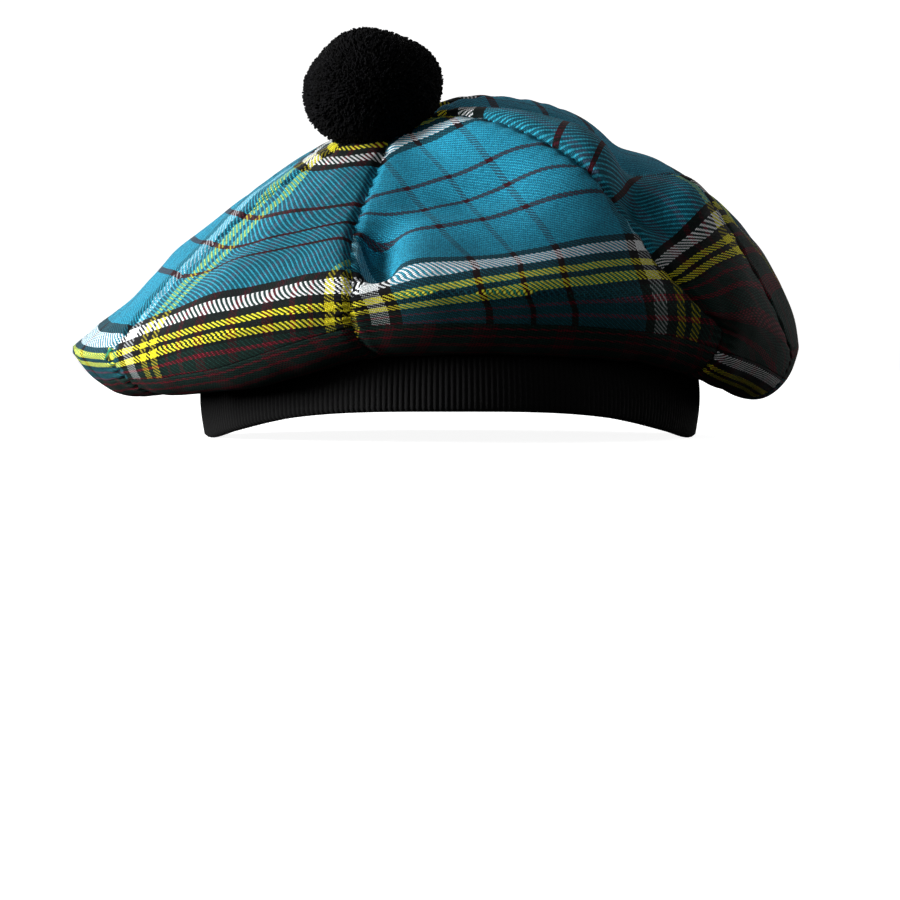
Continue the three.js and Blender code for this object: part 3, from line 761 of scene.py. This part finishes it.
def cloth_piece(name, k, from_reach, to_reach, down, material):
    """A panel of cloth between two seams. Its rows rise from its lower end."""
    shape = lambda x, y: cloth_surface(k, from_reach, to_reach, x, -y)
    made = piece(name, mapped_grid(ACROSS, down, shape), material)
    thick = made.modifiers.new("Cloth", "SOLIDIFY")
    thick.thickness = CLOTH * MILLIMETRE
    thick.offset = -1
    thick.use_even_offset = False
    return made


tartan_cloth = tartan()
for k in range(GORES):
    gore = cloth_piece(f"gore_{k + 1}", k, HUB_REACH, HEM_REACH, DOWN, tartan_cloth)
    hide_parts(f"crown_gore_{k + 1}")
    under = cloth_piece(f"underside_{k + 1}", k, HEM_REACH + HEM_GAP, BAND_REACH, UNDER_DOWN,
                        tartan_cloth)
    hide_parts(f"under_panel_{k + 1}")
    for part in (gore, under):
        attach(part, "root")

# ------------------------------------------------------------ the headband

RIBS = 298
RIB_COLUMNS = 6  # quads across a rib
RIB_DEPTH, RIB_ROUNDNESS = 0.55, 0.7
BAND_ROWS = 40  # quads once round the band's section
SAME_PLACE = 0.00001  # metres within which corners are one


def band_section(azimuth, share):
    """Offset from the oval and height, once round the section as share goes 0 to 1."""
    rim, thick, top = rim_height(azimuth), BAND_THICKNESS, BAND_HEIGHT
    shares, offsets, heights = zip(
        (0, -thick / 2, rim), (.02, -1, rim), (.05, 0, rim + 1), (.45, 0, top - 1),
        (.48, -.6, top - .3), (.5, -1, top), (.54, 1 - thick, top), (.56, .4 - thick, top - .3),
        (.59, -thick, top - 1), (.93, -thick, rim + 1), (.96, .4 - thick, rim + .3),
        (.98, 1 - thick, rim), (1, -thick / 2, rim))
    i = min(np.searchsorted(shares, share, side="right") - 1, len(shares) - 2)
    t = (share - shares[i]) / (shares[i + 1] - shares[i])
    z = between(t, heights[i], heights[i + 1])
    return between(t, offsets[i], offsets[i + 1]) + band_belly(z), z


def band_shape(x, y):
    azimuth = 180 * x
    groove = np.abs(np.sin(np.pi * RIBS * (x + 1) / 2)) ** RIB_ROUNDNESS
    rows = []
    for share in (y + 1) / 2:
        offset, z = band_section(azimuth, share)
        outside = 1 if share < 0.5 else -1
        rows.append(on_oval(azimuth, offset + RIB_DEPTH * (groove - 1) * outside, z))
    return np.array(rows), None


bm = mapped_grid(RIBS * RIB_COLUMNS, BAND_ROWS, band_shape)
bmesh.ops.remove_doubles(bm, verts=bm.verts, dist=SAME_PLACE)
bmesh.ops.recalc_face_normals(bm, faces=bm.faces)
band = piece("ribbed_headband", bm, knit())
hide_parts("headband")
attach(band, "root")

# ------------------------------------------------------------ the pompom

rng = random.Random(4)
TUFTS = 21000
TUFT_LENGTH, TUFT_WIDTHS = 4.4, (0.5, 0.65, 0.8)
TUFT_ROOT, CORE_DEPTH = 4, 1.8  # millimetres under the pompom's surface
TUFT_LEAN = 0.3  # how far a tuft strays from straight out
TUFT_SIZES = 0.84, 1.12  # the smallest and the largest, against the usual

# Where clumps of yarn stand out of the ball or lie in: direction, height, spread
CLUMPS = [(Vector(towards).normalized(), height, spread) for towards, height, spread in [
    ((-0.35, -0.2, 0.92), 0.05, 0.25), ((0.85, -0.3, 0.42), 0.06, 0.3),
    ((-0.72, -0.2, -0.66), 0.1, 0.4), ((0.2, 0.9, 0.3), 0.05, 0.4),
    ((-0.6, 0.7, 0.3), 0.04, 0.3), ((0.1, -0.95, 0.1), 0.04, 0.4),
    ((0.5, -0.3, 0.85), -0.07, 0.12), ((-0.75, -0.2, 0.6), -0.07, 0.12),
    ((0.5, -0.6, -0.6), -0.1, 0.3),
]]


def pompom_point(direction, depth):
    """A point of the pompom towards a direction, depth millimetres under its surface."""
    swell = 1 + sum(height * math.exp(-(direction - towards).length_squared / spread)
                    for towards, height, spread in CLUMPS)
    surface = np.array(direction) * POMPOM_RADII * swell
    return POMPOM_CENTRE + surface * (1 - depth / np.linalg.norm(surface))


def any_way():
    return Vector((rng.gauss(0, 1), rng.gauss(0, 1), rng.gauss(0, 1)))


def tuft(width):
    """One cut end of yarn standing up from the origin, widest at its tip, in millimetres."""
    bm = bmesh.new()
    bmesh.ops.create_cone(bm, cap_ends=True, segments=3, radius1=width * 0.3,
                          radius2=width * 0.5, depth=TUFT_LENGTH)
    bmesh.ops.translate(bm, verts=bm.verts, vec=(0, 0, TUFT_LENGTH / 2))
    mesh = bpy.data.meshes.new("tuft")
    bm.to_mesh(mesh)
    bm.free()
    return mesh


tufts = [tuft(width) for width in TUFT_WIDTHS]
bm = bmesh.new()
bmesh.ops.create_icosphere(bm, subdivisions=4, radius=1)
for vert in bm.verts:
    vert.co = place(pompom_point(vert.co.normalized(), CORE_DEPTH))
for _ in range(TUFTS):
    direction = any_way().normalized()
    size = rng.uniform(*TUFT_SIZES)
    root = Matrix.Translation(Vector(place(pompom_point(direction, TUFT_ROOT))))
    lean = (direction + TUFT_LEAN * any_way()).normalized()
    turn = lean.to_track_quat("Z", "Y").to_matrix().to_4x4()
    copy = rng.choice(tufts).copy()
    copy.transform(root @ turn @ Matrix.Scale(MILLIMETRE * size, 4))
    bm.from_mesh(copy)
    bpy.data.meshes.remove(copy)
for mesh in tufts:
    bpy.data.meshes.remove(mesh)
pompom = piece("pompom_yarn", bm, yarn())
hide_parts("pompom")
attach(pompom, "root")

# ------------------------------------------------------------ floor and light

FLOOR_RADIUS = 3.2
FLOOR_CURVES_UP = [(3.5, 0.05), (3.7, 0.25), (3.8, 0.6), (3.8, 4.5)]  # radius and height

bm = bmesh.new()
bmesh.ops.create_circle(bm, cap_ends=False, segments=96, radius=FLOOR_RADIUS)
flat_rim = rim = bm.edges[:]
for radius, height in FLOOR_CURVES_UP:
    raised = bmesh.ops.extrude_edge_only(bm, edges=rim)["geom"]
    rim = [e for e in raised if isinstance(e, bmesh.types.BMEdge)]
    for vert in {v for e in rim for v in e.verts}:
        outward = Vector((vert.co.x, vert.co.y, 0)).normalized() * radius
        vert.co = (outward.x, outward.y, height)
bmesh.ops.holes_fill(bm, edges=flat_rim)
bmesh.ops.recalc_face_normals(bm, faces=bm.faces)
bmesh.ops.reverse_faces(bm, faces=bm.faces)
paper = finish("Pale paper", Base_Color=(0.5, 0.5, 0.5, 1), Roughness=1.0,
               Emission_Color=(1, 1, 1, 1), Emission_Strength=0.92)[0]
floor = piece("floor", bm, paper)
floor.visible_diffuse = False
floor.visible_glossy = False

world = bpy.data.worlds.new("Studio")
world.use_nodes = True
world.node_tree.nodes["Background"].inputs["Color"].default_value = (1, 1, 1, 1)
world.node_tree.nodes["Background"].inputs["Strength"].default_value = 0.02
bpy.context.scene.world = world


def lamp(name, towards, distance, size, power):
    """A square lamp that shines at the bonnet from a direction."""
    light = bpy.data.lights.new(name, "AREA")
    light.size = size
    light.energy = power
    thing = bpy.data.objects.new(name, light)
    way = Vector(towards).normalized()
    thing.location = Vector((0, 0, 0.05)) + way * distance
    thing.rotation_euler = way.to_track_quat("Z", "Y").to_euler()
    thing.visible_camera = False
    bpy.context.scene.collection.objects.link(thing)


lamp("Key", (-1.0, -0.26, 0.22), 2.2, 0.9, 122)
lamp("Back", (-0.5, 1.0, 0.6), 2.4, 1.4, 32)
lamp("Fill", (-0.15, -1.0, 0.42), 2.6, 1.6, 13)
lamp("Side", (0.9, 0.7, 0.3), 2.6, 1.4, 26)

bpy.context.scene.view_settings.view_transform = "Standard"
